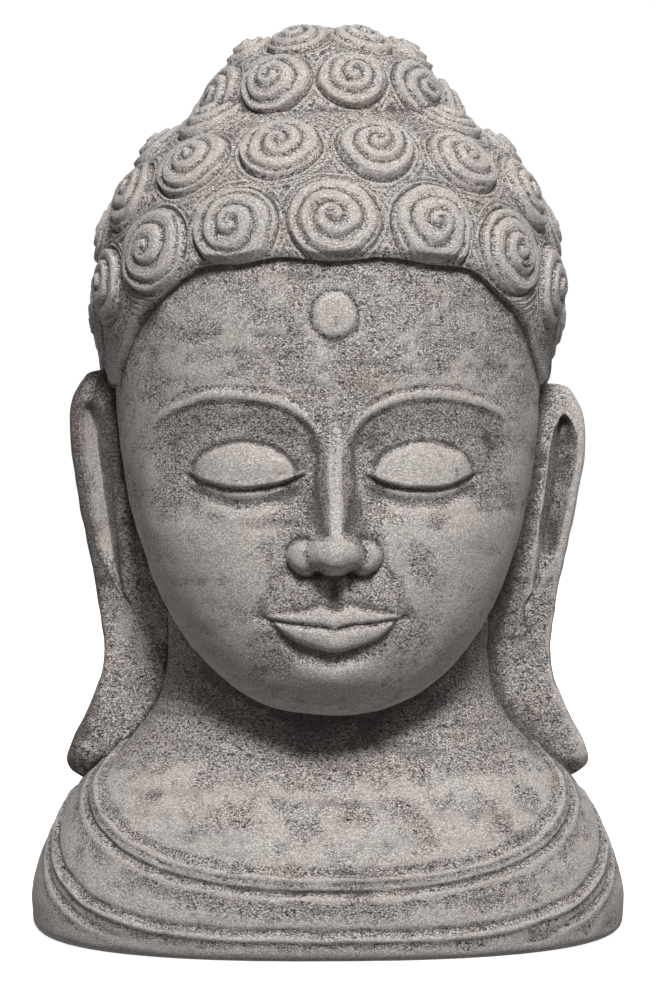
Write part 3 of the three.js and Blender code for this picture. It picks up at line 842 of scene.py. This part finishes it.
class Finish:
    """A material built node by node on its Principled shader."""

    def __init__(self, name):
        self.material = bpy.data.materials.new(name)
        self.material.use_nodes = True
        self.tree = self.material.node_tree
        self.shader = self.tree.nodes["Principled BSDF"]

    def node(self, kind, settings, sockets, output=0):
        node = self.tree.nodes.new(kind)
        for setting, value in settings.items():
            setattr(node, setting, value)
        for socket, value in sockets.items():
            self.feed(node.inputs[socket], value)
        return Link(self, node.outputs[output])

    def feed(self, socket, value):
        if isinstance(value, Link):
            self.tree.links.new(value.socket, socket)
        else:
            socket.default_value = value

    def coordinates(self, scale):
        place = self.node("ShaderNodeTexCoord", {}, {}, "Object")
        return self.node("ShaderNodeMapping", {}, {"Vector": place, "Scale": scale})

    def noise(self, scale, size, detail=2.0, roughness=0.5):
        """Noise between about 0 and 1; size is the width of its blobs in metres."""
        sockets = {
            "Vector": self.coordinates(scale), "Scale": 1 / size,
            "Detail": detail, "Roughness": roughness,
        }
        return self.node("ShaderNodeTexNoise", {}, sockets)

    def ramp(self, value, low, high):
        """0 below low, 1 above high, smooth between."""
        sockets = {"Value": value, "From Min": low, "From Max": high}
        return self.node("ShaderNodeMapRange", dict(interpolation_type="SMOOTHSTEP"), sockets)

    def sine(self, value, spacing):
        """Ridges between -1 and 1, one for each spacing along the value."""
        return (value * (2 * math.pi / spacing)).math("SINE", value * (2 * math.pi / spacing))

    def attribute(self, name):
        return self.node("ShaderNodeAttribute", dict(attribute_name=name), {}, "Fac")

    def blend(self, share, low, high, kind="MIX"):
        """Mix two colours, where 6 and 7 are the Mix node's colour sockets and 2 its colour result."""
        settings = dict(data_type="RGBA", blend_type=kind, clamp_factor=True)
        return self.node("ShaderNodeMix", settings, {0: share, 6: low, 7: high}, 2)


def granite():
    stone = Finish("carved_granite")
    hollow = stone.attribute("hollow")
    ring = stone.attribute("ring_distance")
    in_hair = stone.attribute("hair_mask")

    crystals = stone.noise((0.75, 0.75, 1.1), 0.00115, 1.0, 0.6)
    flecks = stone.noise((0.6, 0.6, 1.25), 0.0024, 2.0, 0.6)
    patches = stone.noise((1, 1, 1.6), 0.05, 3.0)
    bedding = stone.noise((0.1, 0.1, 1), 0.010, 3.0)
    stains = stone.noise((0.8, 0.8, 1.3), 0.09, 2.0)

    light = (0.66, 0.605, 0.570, 1)
    body = (0.270, 0.236, 0.217, 1)
    cool = (0.250, 0.236, 0.226, 1)
    grey = (0.075, 0.065, 0.059, 1)
    dark = (0.022, 0.018, 0.016, 1)

    colour = stone.blend(stone.ramp(patches, 0.35, 0.65), body, cool)
    colour = stone.blend(stone.ramp(crystals, 0.50, 0.66), colour, light)
    colour = stone.blend(stone.ramp(crystals, 0.50, 0.34), colour, grey)
    colour = stone.blend(stone.ramp(bedding, 0.52, 0.70) * 0.4, colour, grey)
    colour = stone.blend(stone.ramp(flecks, 0.565, 0.65) * 0.92, colour, dark)
    colour = stone.blend(stone.ramp(stains, 0.62, 0.78) * 0.15, colour, (0.23, 0.165, 0.12, 1))
    # Painted shade and grime: the colour darkens to near black in hollows and crevices, speckled by the
    # flecks.
    crevice = stone.ramp(hollow + flecks * 0.3, 0.74, 1.15)
    colour = stone.blend(crevice * 0.75, colour, (0.045, 0.036, 0.031, 1))
    # Raised edges and ridges are given a lighter colour.
    lighter_on_ridges = stone.ramp(hollow, 0.42, 0.1)
    colour = stone.blend(lighter_on_ridges * 0.4, colour, light)

    tooling = stone.sine(ring, 0.0027) * in_hair
    height = crystals * 0.6 + flecks * -0.5 + tooling * 0.25 + bedding * 0.2
    bump = stone.node("ShaderNodeBump", {}, {"Strength": 0.6, "Distance": 0.0008, "Height": height}, "Normal")
    stone.feed(stone.shader.inputs["Base Color"], colour)
    stone.feed(stone.shader.inputs["Roughness"], 0.95 - crystals * 0.15)
    stone.feed(stone.shader.inputs["Normal"], bump)
    stone.shader.inputs["Specular IOR Level"].default_value = 0.3
    return stone.material


# ---- Studio -----------------------------------------------------------------------------------

AIM = Vector((0, 0, 0.378))


def studio_floor():
    """A round white floor with a wall all round it, joined by a wide curve."""
    radius = 12
    height = 14
    bpy.ops.object.select_all(action="DESELECT")
    bpy.ops.mesh.primitive_cylinder_add(vertices=96, radius=radius, depth=height, location=(0, 0, height / 2))
    floor = bpy.context.object
    floor.name = "studio_floor"
    bpy.ops.object.transform_apply(location=True, rotation=True, scale=True)
    bpy.ops.object.mode_set(mode="EDIT")
    bpy.ops.mesh.select_mode(type="FACE")
    bpy.ops.mesh.select_all(action="DESELECT")
    bpy.ops.object.mode_set(mode="OBJECT")
    for face in floor.data.polygons:
        face.select = face.normal.z > 0.5
    bpy.ops.object.mode_set(mode="EDIT")
    bpy.ops.mesh.delete(type="FACE")
    bpy.ops.mesh.select_all(action="SELECT")
    bpy.ops.mesh.flip_normals()
    bpy.ops.mesh.select_mode(type="EDGE")
    bpy.ops.mesh.select_all(action="DESELECT")
    bpy.ops.object.mode_set(mode="OBJECT")
    for edge in floor.data.edges:
        edge.select = all(floor.data.vertices[index].co.z < 0.01 for index in edge.vertices)
    bpy.ops.object.mode_set(mode="EDIT")
    bpy.ops.mesh.bevel(offset=3, segments=16, profile=0.5)
    bpy.ops.object.mode_set(mode="OBJECT")
    bpy.ops.object.shade_smooth()
    # Its bounce would wash out the shadows under the chin, so diffuse light passes it by.
    floor.visible_diffuse = False
    paint = Finish("studio_white")
    paint.shader.inputs["Base Color"].default_value = (0.7, 0.7, 0.7, 1)
    paint.shader.inputs["Roughness"].default_value = 1
    paint.shader.inputs["Specular IOR Level"].default_value = 0
    paint.shader.inputs["Emission Color"].default_value = (1, 1, 1, 1)
    paint.shader.inputs["Emission Strength"].default_value = 0.93
    floor.data.materials.append(paint.material)


def softbox(name, location, size, power):
    bpy.ops.object.light_add(type="AREA", location=location)
    lamp = bpy.context.object
    lamp.name = name
    lamp.data.size = size
    lamp.data.energy = power
    lamp.rotation_euler = (AIM - Vector(location)).to_track_quat("-Z", "Y").to_euler()


def studio_light():
    softbox("key_softbox", (0.25, -2.7, 2.85), 0.8, 155)
    softbox("back_light", (0.6, 3.2, 2.0), 2.0, 85)
    world = bpy.data.worlds.new("studio_world")
    bpy.context.scene.world = world
    world.use_nodes = True
    world.node_tree.nodes["Background"].inputs["Color"].default_value = (1, 1, 1, 1)
    world.node_tree.nodes["Background"].inputs["Strength"].default_value = 0.11
    bpy.context.scene.view_settings.view_transform = "Standard"


def studio_camera():
    distance = 2.9
    around = math.radians(-1.6)
    above = math.radians(3)
    level = math.cos(above)
    backwards = Vector((math.sin(around) * level, -math.cos(around) * level, math.sin(above)))
    bpy.ops.object.camera_add(location=AIM + distance * backwards)
    camera = bpy.context.object
    camera.rotation_euler = (-backwards).to_track_quat("-Z", "Y").to_euler()
    camera.data.lens = 117.5
    bpy.context.scene.camera = camera


# ---- The piece --------------------------------------------------------------------------------

studio_camera()
studio_light()
studio_floor()

carving = carve_bust()
hand_cut(carving)
thin_out(carving, MOST_TRIANGLES)
mark_stone(carving)
carving.data.materials.clear()
carving.data.materials.append(granite())
for face in carving.data.polygons:
    face.use_smooth = True

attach(carving, "root")
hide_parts("stone_bust")
